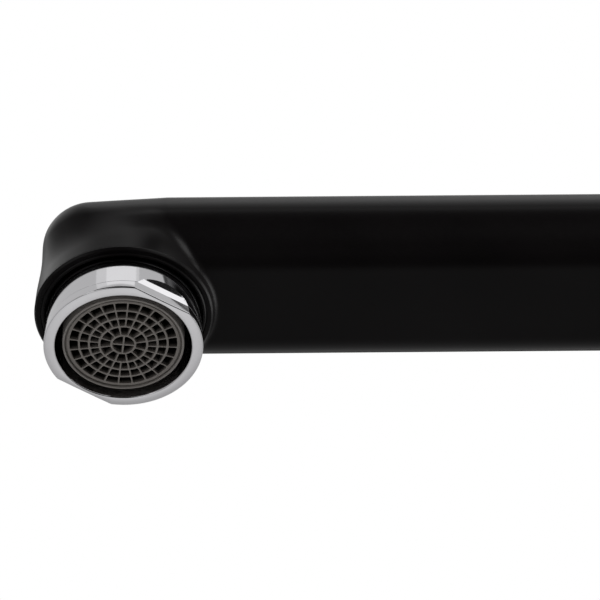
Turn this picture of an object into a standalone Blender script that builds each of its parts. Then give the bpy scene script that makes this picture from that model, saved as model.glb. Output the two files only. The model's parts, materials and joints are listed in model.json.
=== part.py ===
"""Single-lever kitchen faucet: flat swivel spout with a screwed-in aerator, on an upright round body.

Metres, +Z up. The origin is the middle of the body's foot, on the worktop, and the spout points to -Y.
"""
import math

import bmesh
import bpy
from mathutils import Matrix, Vector

MM = 0.001
GAP = 0.3 * MM                     # left between pieces that touch

# Driving dimensions
REACH = 210 * MM                   # swivel axis to outlet axis
SPOUT_Z = 160 * MM                 # middle of the arm above the worktop
BODY_R = 25 * MM
NECK_R = 20.5 * MM                 # the part of the body that the spout turns on
ARM_WIDTH = 28.6 * MM
ARM_THICK = 15 * MM
ARM_EDGE = 7.3 * MM                # rounding of the arm's long edges
NOSE_END = 13.07 * MM              # the arm's end, beyond the outlet axis
NOSE_START = 7.75 * MM             # its sides run straight up to here, before that axis
NOSE_HALF = 13.1 * MM              # half its width where the corners start
NOSE_CORNER = 8 * MM               # radius of those corners, seen from above
RIM_R = 14.63 * MM                 # nozzle rim
RIM_DROP = 9.4 * MM                # middle of the arm down to the rim
COLLAR_R = 13 * MM                 # aerator collar, the usual 26 mm for an M24 thread
COLLAR_DROP = 8.0 * MM             # rim down to the collar's face
THREAD_R = 11.75 * MM
GRID_RINGS = [1.95 * MM, 3.9 * MM, 5.6 * MM, 7.22 * MM, 8.9 * MM]
WORKTOP = 30 * MM                  # thickness that the clamp is drawn for
PIN_Z = 207.5 * MM                 # height of the axis that the lever tilts about
COVER_R = 23.4 * MM                # inside of the dome cover
HUB_R = 22.6 * MM                  # lever's hub
STEM = 7 * MM                      # width of the square stem
BALL_DROP = 9.5 * MM               # tilt axis down to the ball that moves the disc
SWIVEL = 70                        # degrees each way
LIFT = 25                          # degrees that the lever tilts

# Heights and places worked out from them
RIM_Z = SPOUT_Z - RIM_DROP
FACE_Z = RIM_Z - COLLAR_DROP
RING_LOW = SPOUT_Z - 13.8 * MM
RING_TOP = SPOUT_Z + 13.8 * MM
SHOULDER_Z = RING_LOW - 1.5 * MM
COVER_Z = RING_TOP + 1.5 * MM
SEAT_Z = SPOUT_Z + 23 * MM         # floor of the cartridge cup
CUP_TOP = SEAT_Z + 34.5 * MM
CUP_R = 18 * MM
STEM_OPENING = BODY_R * math.sin(math.radians(LIFT)) + STEM / 2 + GAP
OUTLET = Vector((0, -REACH, 0))
INLETS = [Vector((-9.5 * MM, 3 * MM, 0)), Vector((9.5 * MM, 3 * MM, 0))]
MIXED = Vector((0, -9 * MM, 0))    # bore that brings mixed water down to the neck
STUD = Vector((0, 13.5 * MM, 0))
STUD_R = 4 * MM                    # M8
STOP = Vector((0, 23 * MM, 0))     # pin that ends the spout's swivel
STOP_R = 1 * MM
RING_FOOT = 2.3 * MM               # base ring's underside
FLATS_TURN = math.radians(33.5)    # wrench flats and grid, turned with the thread
GRID_TURN = math.radians(6.25)
ROUND = 32                         # sides of a large turned piece
SMALL = 24


def clear_scene():
    for thing in list(bpy.data.objects):
        bpy.data.objects.remove(thing)


def collection(name):
    group = bpy.data.collections.new(name)
    bpy.context.scene.collection.children.link(group)
    return group


clear_scene()
PARTS = collection("kitchen_faucet")
CUTTERS = collection("cutters")


def material(name, colour, roughness, metallic=0.0):
    made = bpy.data.materials.new(name)
    made.use_nodes = True
    shader = made.node_tree.nodes["Principled BSDF"]
    shader.inputs["Base Color"].default_value = (*colour, 1)
    shader.inputs["Roughness"].default_value = roughness
    shader.inputs["Metallic"].default_value = metallic
    return made


BLACK = material("black_lacquer", (0.007, 0.006, 0.007), 0.35)
CHROME = material("chrome_plate", (0.85, 0.85, 0.86), 0.06, 1.0)
GREY_PLASTIC = material("grey_plastic", (0.14, 0.135, 0.13), 0.5)
WHITE_PLASTIC = material("white_plastic", (0.75, 0.75, 0.72), 0.4)
RUBBER = material("rubber", (0.02, 0.02, 0.02), 0.8)
CERAMIC = material("ceramic", (0.85, 0.84, 0.8), 0.15)
BRASS = material("brass", (0.7, 0.5, 0.2), 0.3, 1.0)
STEEL = material("steel", (0.55, 0.55, 0.56), 0.35, 1.0)
INDEX = material("index_mark", (0.5, 0.03, 0.03), 0.35)


def link(thing, look=None, group=PARTS):
    group.objects.link(thing)
    if look:
        thing.data.materials.append(look)
    return thing


def turned(name, profile, look=None, sides=ROUND, at=(0, 0, 0), group=PARTS):
    """A profile of (radius, height) points, listed down the outer side, swept round Z."""
    closed = min(radius for radius, height in profile) > 1e-6
    count = len(profile)
    edges = [(i, (i + 1) % count) for i in range(count if closed else count - 1)]
    mesh = bpy.data.meshes.new(name)
    mesh.from_pydata([(radius, 0, height) for radius, height in profile], edges, [])
    thing = link(bpy.data.objects.new(name, mesh), look, group)
    thing.location = at
    screw = thing.modifiers.new("turn", "SCREW")
    screw.steps = screw.render_steps = sides
    screw.use_merge_vertices = True
    screw.merge_threshold = 1e-5
    screw.use_smooth_shade = True
    return thing


def ring(name, r_in, r_out, low, high, look=None, sides=ROUND, at=(0, 0, 0), group=PARTS):
    return turned(name, [(r_out, high), (r_out, low), (r_in, low), (r_in, high)], look, sides, at, group)


def disc(name, radius, low, high, look=None, sides=ROUND, at=(0, 0, 0), group=PARTS):
    return turned(name, [(0, high), (radius, high), (radius, low), (0, low)], look, sides, at, group)


def hoop(name, radius, height, thickness, look):
    """An O-ring of the given middle radius, at the given height."""
    around = [2 * math.pi * i / 6 for i in range(6)]
    profile = [(radius + thickness / 2 * math.sin(a), height + thickness / 2 * math.cos(a)) for a in around]
    return turned(name, profile, look)


def plate(name, outline, low, high, look=None, group=PARTS):
    """A flat piece: a closed outline of (x, y) points, filled and given its thickness along Z."""
    curve = bpy.data.curves.new(name, "CURVE")
    curve.dimensions = "2D"
    curve.fill_mode = "BOTH"
    curve.extrude = (high - low) / 2
    spline = curve.splines.new("POLY")
    spline.points.add(len(outline) - 1)
    for point, (x, y) in zip(spline.points, outline):
        point.co = (x, y, 0, 1)
    spline.use_cyclic_u = True
    guide = bpy.data.objects.new(name + "_outline", curve)
    CUTTERS.objects.link(guide)
    bpy.context.view_layer.update()
    mesh = bpy.data.meshes.new_from_object(guide.evaluated_get(bpy.context.evaluated_depsgraph_get()))
    bpy.data.objects.remove(guide)
    mesh.name = name
    work = bmesh.new()
    work.from_mesh(mesh)
    bmesh.ops.remove_doubles(work, verts=work.verts, dist=1e-6)
    bmesh.ops.dissolve_limit(work, angle_limit=math.radians(1), verts=work.verts, edges=work.edges)
    bmesh.ops.translate(work, verts=work.verts, vec=(0, 0, (low + high) / 2))
    bmesh.ops.recalc_face_normals(work, faces=work.faces)
    work.to_mesh(mesh)
    work.free()
    mesh.materials.clear()
    return link(bpy.data.objects.new(name, mesh), look, group)


def loft(name, loops, look=None, group=PARTS):
    """A solid through closed loops of points, each with as many points as the next, capped at both ends."""
    mesh = bpy.data.meshes.new(name)
    work = bmesh.new()
    rows = [[work.verts.new(point) for point in loop] for loop in loops]
    for low, high in zip(rows, rows[1:]):
        for i, vert in enumerate(low):
            after = (i + 1) % len(low)
            work.faces.new([vert, low[after], high[after], high[i]])
    work.faces.new(rows[0])
    work.faces.new(rows[-1])
    bmesh.ops.recalc_face_normals(work, faces=work.faces)
    work.to_mesh(mesh)
    work.free()
    return link(bpy.data.objects.new(name, mesh), look, group)


def block(name, size, middle, look=None, group=PARTS):
    mesh = bpy.data.meshes.new(name)
    work = bmesh.new()
    bmesh.ops.create_cube(work, size=1)
    bmesh.ops.scale(work, verts=work.verts, vec=size)
    bmesh.ops.translate(work, verts=work.verts, vec=middle)
    work.to_mesh(mesh)
    work.free()
    return link(bpy.data.objects.new(name, mesh), look, group)


def rod(name, radius, start, end, look=None, sides=SMALL, group=PARTS):
    """A round bar from one point to another."""
    start, end = Vector(start), Vector(end)
    run = end - start
    mesh = bpy.data.meshes.new(name)
    work = bmesh.new()
    bmesh.ops.create_cone(work, cap_ends=True, segments=sides, radius1=radius, radius2=radius, depth=run.length)
    turn = Vector((0, 0, 1)).rotation_difference(run).to_matrix().to_4x4()
    bmesh.ops.transform(work, verts=work.verts, matrix=Matrix.Translation((start + end) / 2) @ turn)
    work.to_mesh(mesh)
    work.free()
    return link(bpy.data.objects.new(name, mesh), look, group)


def combine(thing, tools, operation="DIFFERENCE"):
    """Cut the tools from a piece, or join them to it, and put the tools away."""
    for tool in tools:
        step = thing.modifiers.new(tool.name, "BOOLEAN")
        step.operation = operation
        step.object = tool
        tool.hide_render = True
        tool.display_type = "WIRE"
    return thing


def round_edges(thing, width, segments, angle=40):
    bevel = thing.modifiers.new("round", "BEVEL")
    bevel.width = width
    bevel.segments = segments
    bevel.limit_method = "ANGLE"
    bevel.angle_limit = math.radians(angle)
    return thing


def arc(radius, start, end, steps, middle=(0, 0)):
    """Points on a circle, from one angle in degrees to another."""
    angles = [math.radians(start + (end - start) * i / steps) for i in range(steps + 1)]
    return [(middle[0] + radius * math.cos(a), middle[1] + radius * math.sin(a)) for a in angles]


def sector(r_in, r_out, start, end, steps):
    return arc(r_out, start, end, steps) + arc(r_in, end, start, steps)


def cutter_rod(name, radius, start, end, sides=24):
    return rod(name, radius, start, end, sides=sides, group=CUTTERS)


def upright(name, radius, middle, low, high, sides=24):
    """A round cutter along Z through a point of the ground plan."""
    return cutter_rod(name, radius, middle + Vector((0, 0, low)), middle + Vector((0, 0, high)), sides)


# Body

def body():
    groove = 1.7 * MM
    seals = [RING_LOW + 3.2 * MM, RING_TOP - 3.2 * MM]
    profile = [(0, SEAT_Z), (CUP_R, SEAT_Z), (CUP_R, CUP_TOP), (NECK_R, CUP_TOP)]
    for height in reversed(seals):
        profile += [(NECK_R, height + 1.4 * MM), (NECK_R - groove, height + 1.4 * MM),
                    (NECK_R - groove, height - 1.4 * MM), (NECK_R, height - 1.4 * MM)]
        if height == seals[1]:
            profile += [(NECK_R, SPOUT_Z + 6 * MM), (NECK_R - 2 * MM, SPOUT_Z + 6 * MM),
                        (NECK_R - 2 * MM, SPOUT_Z - 6 * MM), (NECK_R, SPOUT_Z - 6 * MM)]
    spigot = 19.7 * MM
    profile += [(NECK_R, SHOULDER_Z), (BODY_R, SHOULDER_Z), (BODY_R, RING_FOOT), (spigot, RING_FOOT),
                (spigot, 0), (0, 0)]
    made = turned("faucet_body", profile, BLACK)
    bores = [upright("inlet_bore", 4.5 * MM, port, -5 * MM, SEAT_Z + MM) for port in INLETS]
    down = MIXED + Vector((0, 0, SPOUT_Z))
    bores.append(upright("mixed_bore", 4.2 * MM, MIXED, SPOUT_Z - 4.2 * MM, SEAT_Z + MM))
    bores.append(cutter_rod("neck_bore", 4 * MM, down, down - Vector((0, 14 * MM, 0))))
    bores.append(upright("stud_bore", STUD_R + GAP, STUD, -MM, 14 * MM))
    bores.append(upright("stop_bore", STOP_R + GAP, STOP, SHOULDER_Z - 4 * MM, SHOULDER_Z + MM, 12))
    combine(made, bores)
    for name, height in zip(("swivel_o_ring_lower", "swivel_o_ring_upper"), seals):
        hoop(name, NECK_R - 0.75 * MM, height, 1.8 * MM, RUBBER)


def swivel_details():
    """Stop pin and slide rings, between which the spout turns."""
    rod("swivel_stop_pin", STOP_R, STOP + Vector((0, 0, SHOULDER_Z - 3.7 * MM)),
        STOP + Vector((0, 0, RING_LOW + 2.2 * MM)), STEEL, 16)
    outside = BODY_R - 0.4 * MM
    lower = ring("slide_ring_lower", NECK_R + GAP, outside, SHOULDER_Z + GAP, RING_LOW - GAP, WHITE_PLASTIC)
    combine(lower, [upright("stop_clearance", STOP_R + 0.4 * MM, STOP, SHOULDER_Z - MM, RING_LOW + MM, 12)])
    ring("slide_ring_upper", NECK_R + GAP, outside, RING_TOP + GAP, COVER_Z - GAP, WHITE_PLASTIC)


def foot():
    """Trim ring and gasket on the worktop, and the stud, horseshoe clamp and nut under it."""
    turned("base_ring", [(BODY_R + GAP, 7 * MM), (27 * MM, 7 * MM), (29 * MM, 4.5 * MM), (29 * MM, RING_FOOT),
                         (BODY_R + GAP, RING_FOOT)], BLACK)
    ring("base_gasket", 20 * MM, 28.5 * MM, 0, RING_FOOT - GAP, RUBBER)
    rod("mounting_stud", STUD_R, STUD - Vector((0, 0, 62 * MM)), STUD + Vector((0, 0, 12 * MM)), STEEL, 24)
    outside, slot, corner = 26 * MM, 15 * MM, 6 * MM
    tilt = math.degrees(math.asin(slot / outside))
    horseshoe = (arc(outside, -90 + tilt, 270 - tilt, 32)
                 + arc(corner, 180, 90, 4, (corner - slot, 2 * MM))
                 + arc(corner, 90, 0, 4, (slot - corner, 2 * MM)))
    stack = -WORKTOP
    for name, thick, look in (("clamp_gasket", 3 * MM, RUBBER), ("clamp_plate", 2.5 * MM, STEEL)):
        piece = plate(name, horseshoe, stack - thick, stack, look)
        combine(piece, [upright(name + "_hole", STUD_R + 0.4 * MM, STUD, stack - thick - MM, stack + MM)])
        stack -= thick + GAP
    nut_high, nut_half = 6.5 * MM, 6.5 * MM
    nut = rod("clamp_nut", nut_half / math.cos(math.pi / 6), STUD + Vector((0, 0, stack - nut_high)),
              STUD + Vector((0, 0, stack)), BRASS, 6)
    combine(nut, [upright("nut_hole", STUD_R + GAP, STUD, stack - nut_high - MM, stack + MM)])


# Spout

def nose_loop(inset, height):
    """The arm's outline at one height, drawn in by inset: straight sides, a slight taper, a squarish nose."""
    half, tip_half = ARM_WIDTH / 2 - inset, NOSE_HALF - NOSE_CORNER
    turn_y = NOSE_CORNER - NOSE_END
    outline = [(-half, NOSE_START)]
    outline += arc(NOSE_CORNER - inset, 180, 270, 6, (-tip_half, turn_y))
    outline += arc(NOSE_CORNER - inset, 270, 360, 6, (tip_half, turn_y))
    outline += [(half, NOSE_START), (half, REACH), (-half, REACH)]
    return [(x, y - REACH, height) for x, y in outline]


def spout():
    loops = []
    flat = ARM_THICK / 2 - ARM_EDGE
    for side, rises in ((-1, range(5, -1, -1)), (1, range(6))):
        for rise in rises:
            angle = math.pi / 2 * rise / 5
            loops.append(nose_loop(ARM_EDGE * (1 - math.cos(angle)),
                                   SPOUT_Z + side * (flat + ARM_EDGE * math.sin(angle))))
    arm = loft("spout", loops, BLACK)
    nozzle_side = [(0, SPOUT_Z + 4 * MM), (11 * MM, SPOUT_Z + 4 * MM), (12.9 * MM, SPOUT_Z + 2 * MM),
                   (13.8 * MM, SPOUT_Z - 3 * MM), (14.3 * MM, SPOUT_Z - 6.3 * MM), (RIM_R, RIM_Z + 0.7 * MM),
                   (RIM_R - 0.4 * MM, RIM_Z), (0, RIM_Z)]
    nozzle = turned("nozzle", nozzle_side, at=OUTLET, group=CUTTERS)
    hub = disc("swivel_ring", BODY_R, RING_LOW, RING_TOP, group=CUTTERS)
    combine(arm, [nozzle, hub], "UNION")
    seat_z = SPOUT_Z - 0.7 * MM
    chamber_top = SPOUT_Z + 4.6 * MM
    chamber_r, mouth_r, mouth_z = 10.5 * MM, COLLAR_R + 0.35 * MM, RIM_Z + 1.3 * MM
    inner = turned("nozzle_bore", [(0, chamber_top), (chamber_r, chamber_top), (chamber_r, seat_z),
                                   (THREAD_R + GAP, seat_z), (THREAD_R + GAP, mouth_z), (mouth_r, mouth_z),
                                   (mouth_r, RIM_Z - MM), (0, RIM_Z - MM)], at=OUTLET, group=CUTTERS)
    length = REACH - 15 * MM - NECK_R
    channel = block("arm_channel", (22 * MM, length, 9 * MM), (0, -NECK_R - length / 2, SPOUT_Z), group=CUTTERS)
    passage = block("nozzle_passage", (17 * MM, 20 * MM, 4.4 * MM),
                    (0, 7 * MM - REACH, chamber_top - 2.2 * MM), group=CUTTERS)
    bore = disc("swivel_bore", NECK_R + GAP, RING_LOW - MM, RING_TOP + MM, group=CUTTERS)
    sweep = SWIVEL + 3
    slot = plate("stop_slot", sector(21.7 * MM, 24.3 * MM, 90 - sweep, 90 + sweep, 24), RING_LOW - MM,
                 RING_LOW + 2.8 * MM, group=CUTTERS)
    combine(arm, [channel, passage, bore, slot, inner])


def aerator():
    neck_top = RIM_Z + 5.2 * MM
    opening = 11.05 * MM
    housing = turned("aerator_housing", [
        (THREAD_R, neck_top), (THREAD_R, RIM_Z + 0.6 * MM), (COLLAR_R, RIM_Z + 0.6 * MM),
        (COLLAR_R, FACE_Z + 0.3 * MM), (COLLAR_R - 0.3 * MM, FACE_Z), (opening + 0.3 * MM, FACE_Z),
        (opening, FACE_Z + 0.3 * MM), (opening, neck_top)], CHROME, at=OUTLET)
    flats = []
    for side in (1, -1):
        away = 11.92 * MM + 4 * MM
        flat = block("wrench_flat", (8 * MM, 20 * MM, 3.6 * MM), (0, 0, 0), group=CUTTERS)
        flat.rotation_euler.z = FLATS_TURN
        flat.location = OUTLET + Vector((side * away * math.cos(FLATS_TURN), side * away * math.sin(FLATS_TURN),
                                         FACE_Z + 0.8 * MM))
        flats.append(flat)
    combine(housing, flats)
    sleeve_in, sleeve_out = 9.4 * MM, 10 * MM
    flange = neck_top + GAP
    turned("aerator_insert", [(11.6 * MM, flange + 1.1 * MM), (11.6 * MM, flange), (sleeve_out, flange),
                              (sleeve_out, FACE_Z + 0.6 * MM), (sleeve_in, FACE_Z + 0.6 * MM),
                              (sleeve_in, flange + 1.1 * MM)], GREY_PLASTIC, at=OUTLET)
    outlet_grid(FACE_Z + 0.8 * MM, FACE_Z + 4.8 * MM)
    jets = disc("jet_plate", 9.1 * MM, RIM_Z - 0.5 * MM, RIM_Z + 2 * MM, GREY_PLASTIC, SMALL, OUTLET)
    holes = bpy.data.meshes.new("jet_holes")
    work = bmesh.new()
    for i in range(12):
        angle = 2 * math.pi * i / 12
        middle = Vector((5.6 * MM * math.cos(angle), 5.6 * MM * math.sin(angle), RIM_Z + MM))
        bmesh.ops.create_cone(work, cap_ends=True, segments=8, radius1=0.6 * MM, radius2=0.6 * MM, depth=6 * MM,
                              matrix=Matrix.Translation(middle))
    work.to_mesh(holes)
    work.free()
    tool = link(bpy.data.objects.new("jet_holes", holes), group=CUTTERS)
    tool.location = OUTLET
    combine(jets, [tool])
    strainer = [(0, flange + 4 * MM), (5 * MM, flange + 3.6 * MM), (8.8 * MM, flange + 2 * MM),
                (9.0 * MM, flange + GAP), (8.3 * MM, flange + GAP), (8.1 * MM, flange + 1.6 * MM),
                (4.6 * MM, flange + 3.1 * MM), (0, flange + 3.4 * MM)]
    turned("inlet_strainer", strainer, GREY_PLASTIC, SMALL, OUTLET)
    ring("aerator_gasket", 9.5 * MM, THREAD_R, flange + 1.4 * MM, SPOUT_Z - MM, RUBBER, SMALL, OUTLET)


def outlet_grid(low, high):
    """Concentric rings of cells: twelve round the hub, then three rows of twenty-four."""
    wall = 0.17 * MM
    grid = disc("outlet_grid", 9.1 * MM, low, high, GREY_PLASTIC, ROUND, OUTLET)
    work = bmesh.new()
    for row, (inner, outer) in enumerate(zip(GRID_RINGS, GRID_RINGS[1:])):
        cells = 12 if row == 0 else 24
        step = 2 * math.pi / cells
        for i in range(cells):
            start = GRID_TURN + math.pi / 12 + i * step
            corners = []
            for radius, order in ((inner + wall, 1), (outer - wall, -1)):
                margin = 0.14 * MM / radius
                spread = [start + margin, start + step / 2, start + step - margin]
                corners += [(radius * math.cos(a), radius * math.sin(a)) for a in spread[::order]]
            face = work.faces.new([work.verts.new((x, y, low - MM)) for x, y in corners])
            extruded = bmesh.ops.extrude_face_region(work, geom=[face])
            raised = [v for v in extruded["geom"] if isinstance(v, bmesh.types.BMVert)]
            bmesh.ops.translate(work, verts=raised, vec=(0, 0, high - low + 2 * MM))
    hub_r = GRID_RINGS[0] - wall
    bmesh.ops.recalc_face_normals(work, faces=work.faces)
    for i in range(4):
        start = GRID_TURN + i * math.pi / 2
        margin = 0.2
        points = [(0.35 * MM, start + math.pi / 4)]
        points += [(hub_r, start + margin + (math.pi / 2 - 2 * margin) * k / 3) for k in range(4)]
        face = work.faces.new([work.verts.new((r * math.cos(a), r * math.sin(a), low - MM)) for r, a in points])
        extruded = bmesh.ops.extrude_face_region(work, geom=[face])
        raised = [v for v in extruded["geom"] if isinstance(v, bmesh.types.BMVert)]
        bmesh.ops.translate(work, verts=raised, vec=(0, 0, high - low + 2 * MM))
    bmesh.ops.recalc_face_normals(work, faces=work.faces)
    mesh = bpy.data.meshes.new("grid_cells")
    work.to_mesh(mesh)
    work.free()
    cells = link(bpy.data.objects.new("grid_cells", mesh), group=CUTTERS)
    cells.location = OUTLET
    combine(grid, [cells])


# Cartridge

def cartridge():
    base_low, base_top = SEAT_Z + GAP, SEAT_Z + 4.3 * MM
    base = disc("cartridge_base", 17.5 * MM, base_low, base_top, WHITE_PLASTIC)
    ports = INLETS + [MIXED]
    tools = [upright("base_port", 3 * MM, port, SEAT_Z, base_top + MM, 16) for port in ports]
    tools += [upright("seal_pocket", 4.7 * MM, port, SEAT_Z - MM, base_low + 1.4 * MM, 16) for port in ports]
    combine(base, tools)
    for name, port in zip(("hot", "cold", "mixed"), ports):
        ring("port_seal_" + name, 3.3 * MM, 4.4 * MM, base_low, base_low + 1.1 * MM, RUBBER, 16, port)
    disc_low = base_top + GAP
    fixed = disc("fixed_disc", 13.4 * MM, disc_low, disc_low + 3.5 * MM, CERAMIC, SMALL)
    combine(fixed, [upright("disc_port", 2.7 * MM, p, disc_low - MM, disc_low + 5 * MM, 16) for p in ports])
    slide_low = disc_low + 3.8 * MM
    moving = disc("moving_disc", 10.8 * MM, slide_low, slide_low + 3.5 * MM, CERAMIC, SMALL)
    combine(moving, [disc("mixing_pocket", 6.5 * MM, slide_low - MM, slide_low + 1.8 * MM, None, 24,
                          (0, -2.5 * MM, 0), CUTTERS)])
    carrier_low = slide_low + 3.8 * MM
    ring("disc_carrier", 2.9 * MM, 10.8 * MM, carrier_low, carrier_low + 5 * MM, GREY_PLASTIC, SMALL)
    guide_low = carrier_low + 5.4 * MM
    shell_top = SEAT_Z + 33.4 * MM
    collar_z, collar_top = shell_top - 2.3 * MM, shell_top + 1.6 * MM
    guide_side = [(0, collar_top), (11 * MM, collar_top), (11 * MM, collar_z), (15.2 * MM, collar_z),
                  (15.2 * MM, guide_low), (0, guide_low)]
    guide = turned("stem_guide", guide_side, GREY_PLASTIC, SMALL)
    pin_r, pin_half = 1.3 * MM, 8.7 * MM
    bore_half = pin_half + GAP
    combine(guide, [block("stem_slot", (STEM + 2 * GAP, 20 * MM, 40 * MM), (0, 0, PIN_Z), group=CUTTERS),
                    cutter_rod("pin_bore", pin_r + GAP, (-bore_half, 0, PIN_Z), (bore_half, 0, PIN_Z), 16)])
    rod("stem_pin", pin_r, (-pin_half, 0, PIN_Z), (pin_half, 0, PIN_Z), STEEL, 16)
    turned("cartridge_shell", [(11.4 * MM, shell_top), (17.5 * MM, shell_top), (17.5 * MM, base_top + GAP),
                               (15.5 * MM, base_top + GAP), (15.5 * MM, shell_top - 2 * MM),
                               (11.4 * MM, shell_top - 2 * MM)], GREY_PLASTIC)
    stem = block("cartridge_stem", (STEM, STEM, 36.5 * MM), (0, 0, PIN_Z + 13.25 * MM), STEEL)
    neck_r, ball_r = 1.6 * MM, 2.4 * MM
    ball = [(ball_r * math.sin(math.radians(a)), PIN_Z - BALL_DROP + ball_r * math.cos(math.radians(a)))
            for a in (42, 60, 90, 120, 150)]
    tip = turned("stem_tip", [(0, PIN_Z - 4 * MM), (neck_r, PIN_Z - 4 * MM)] + ball
                 + [(0, PIN_Z - BALL_DROP - ball_r)], sides=16, group=CUTTERS)
    combine(stem, [tip], "UNION")
    combine(stem, [cutter_rod("stem_bore", pin_r + GAP, (-STEM, 0, PIN_Z), (STEM, 0, PIN_Z), 16)])
    nut_low = shell_top + GAP
    nut = ring("cartridge_nut", 12 * MM, 17.7 * MM, nut_low, nut_low + 5 * MM, BRASS)
    combine(nut, [block("nut_slot", (40 * MM, 3 * MM, 4 * MM), (0, 0, nut_low + 5 * MM), group=CUTTERS),
                  block("nut_slot", (3 * MM, 40 * MM, 4 * MM), (0, 0, nut_low + 5 * MM), group=CUTTERS)])


def sphere_profile(radius, start, end, steps=5):
    """Points on a sphere round the tilt axis, from one angle off the vertical to another."""
    angles = [math.radians(start + (end - start) * i / steps) for i in range(steps + 1)]
    return [(radius * math.sin(a), PIN_Z + radius * math.cos(a)) for a in angles]


def dome_cover():
    opening = math.degrees(math.asin(STEM_OPENING / BODY_R))
    inner_opening = math.degrees(math.asin(STEM_OPENING / COVER_R))
    profile = sphere_profile(BODY_R, opening, 90)
    profile += [(BODY_R, COVER_Z), (NECK_R + GAP, COVER_Z), (NECK_R + GAP, COVER_Z + 9 * MM),
                (COVER_R, COVER_Z + 11.6 * MM)]
    profile += sphere_profile(COVER_R, 90, inner_opening)
    turned("dome_cover", profile, BLACK)


def lever():
    """Hub over the dome with its flat bar, and the screw and plug that hold it on the stem."""
    dome = BODY_R + 0.4 * MM
    edge = math.degrees(math.asin(HUB_R / dome))
    top, crown = PIN_Z + 36 * MM, 2.5 * MM
    profile = [(0, top)] + [(HUB_R - crown + crown * math.sin(math.radians(a)),
                             top - crown + crown * math.cos(math.radians(a))) for a in (0, 30, 60, 90)]
    profile += sphere_profile(dome, edge, 0)
    handle = turned("lever", profile, BLACK)
    half, tip, thick, root = 6.5 * MM, 112 * MM, 6 * MM, 16 * MM
    outline = arc(half, 0, -180, 12, (0, half - tip)) + [(-half, -root), (half, -root)]
    bar = plate("lever_bar", outline, -thick / 2, thick / 2, group=CUTTERS)
    round_edges(bar, 2.6 * MM, 3, 60)
    bar.rotation_euler.x = math.radians(-5)
    bar.location = (0, 0, top - 6.5 * MM)
    combine(handle, [bar], "UNION")
    screw_z, screw_r, plug_r = PIN_Z + 28.5 * MM, 2.2 * MM, 3.3 * MM
    socket_wide = STEM + 2 * GAP
    socket = block("stem_socket", (socket_wide, socket_wide, 20 * MM), (0, 0, PIN_Z + 22 * MM), group=CUTTERS)
    hole = cutter_rod("screw_hole", screw_r + GAP, (0, 2 * MM, screw_z), (0, 30 * MM, screw_z), 16)
    recess = cutter_rod("plug_recess", plug_r + GAP, (0, 18 * MM, screw_z), (0, 30 * MM, screw_z), 24)
    combine(handle, [socket, hole, recess])
    screw = rod("lever_set_screw", screw_r, (0, 4.2 * MM, screw_z), (0, 12 * MM, screw_z), STEEL, 16)
    combine(screw, [cutter_rod("hex_socket", 1.3 * MM, (0, 9.5 * MM, screw_z), (0, 13 * MM, screw_z), 6)])
    rod("index_plug", plug_r, (0, 18.3 * MM, screw_z), (0, HUB_R + GAP, screw_z), INDEX, 24)


def joint_empty(name, place, members, parent=None):
    """An empty on a joint's axis, with the pieces that move on it as its children."""
    axis = bpy.data.objects.new(name, None)
    PARTS.objects.link(axis)
    axis.location = Vector(place) - (parent.location if parent else Vector())
    axis.parent = parent
    bpy.context.view_layer.update()
    for member in members:
        piece = bpy.data.objects[member]
        piece.parent = axis
        piece.matrix_parent_inverse = axis.matrix_world.inverted()
    return axis


def smooth_rounds():
    for thing in PARTS.objects:
        if thing.type == "MESH" and thing.data.polygons:
            thing.data.shade_smooth()
            thing.data.set_sharp_from_angle(angle=math.radians(35))


body()
swivel_details()
foot()
spout()
aerator()
cartridge()
dome_cover()
lever()
joint_empty("spout_swivel", (0, 0, SPOUT_Z), ["spout", "aerator_housing", "aerator_insert", "outlet_grid",
                                              "jet_plate", "inlet_strainer", "aerator_gasket"])
turn_axis = joint_empty("lever_turn", (0, 0, PIN_Z), ["stem_guide", "stem_pin"])
joint_empty("disc_slide", (0, 0, PIN_Z), ["moving_disc", "disc_carrier"], turn_axis)
joint_empty("lever_tilt", (0, 0, PIN_Z), ["cartridge_stem", "lever", "lever_set_screw", "index_plug"],
            turn_axis)
smooth_rounds()
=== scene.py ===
"""Looks of the kitchen faucet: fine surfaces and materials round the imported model, a stage and a camera.

The camera looks up at the spout's end from the side, with a long lens. The faucet is held at its foot,
so the floor lies far below it.
"""
import json
import math

import bmesh
import bpy
import numpy as np
from mathutils import Matrix, Vector


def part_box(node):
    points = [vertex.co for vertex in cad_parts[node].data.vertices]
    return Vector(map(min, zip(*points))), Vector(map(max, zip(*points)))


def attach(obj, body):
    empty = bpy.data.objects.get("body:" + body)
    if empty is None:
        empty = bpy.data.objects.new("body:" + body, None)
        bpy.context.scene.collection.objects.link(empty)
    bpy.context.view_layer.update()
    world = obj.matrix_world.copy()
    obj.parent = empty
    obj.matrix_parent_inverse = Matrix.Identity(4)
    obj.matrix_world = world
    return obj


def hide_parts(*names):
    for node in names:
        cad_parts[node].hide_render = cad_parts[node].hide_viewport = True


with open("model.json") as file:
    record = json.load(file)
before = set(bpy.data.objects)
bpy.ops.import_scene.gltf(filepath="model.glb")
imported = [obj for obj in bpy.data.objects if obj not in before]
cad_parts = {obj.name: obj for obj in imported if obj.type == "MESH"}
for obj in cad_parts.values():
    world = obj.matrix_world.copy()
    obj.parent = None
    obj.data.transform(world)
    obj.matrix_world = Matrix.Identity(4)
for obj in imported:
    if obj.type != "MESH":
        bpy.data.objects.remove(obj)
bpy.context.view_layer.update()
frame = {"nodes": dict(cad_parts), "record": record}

MM = 0.001

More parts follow.
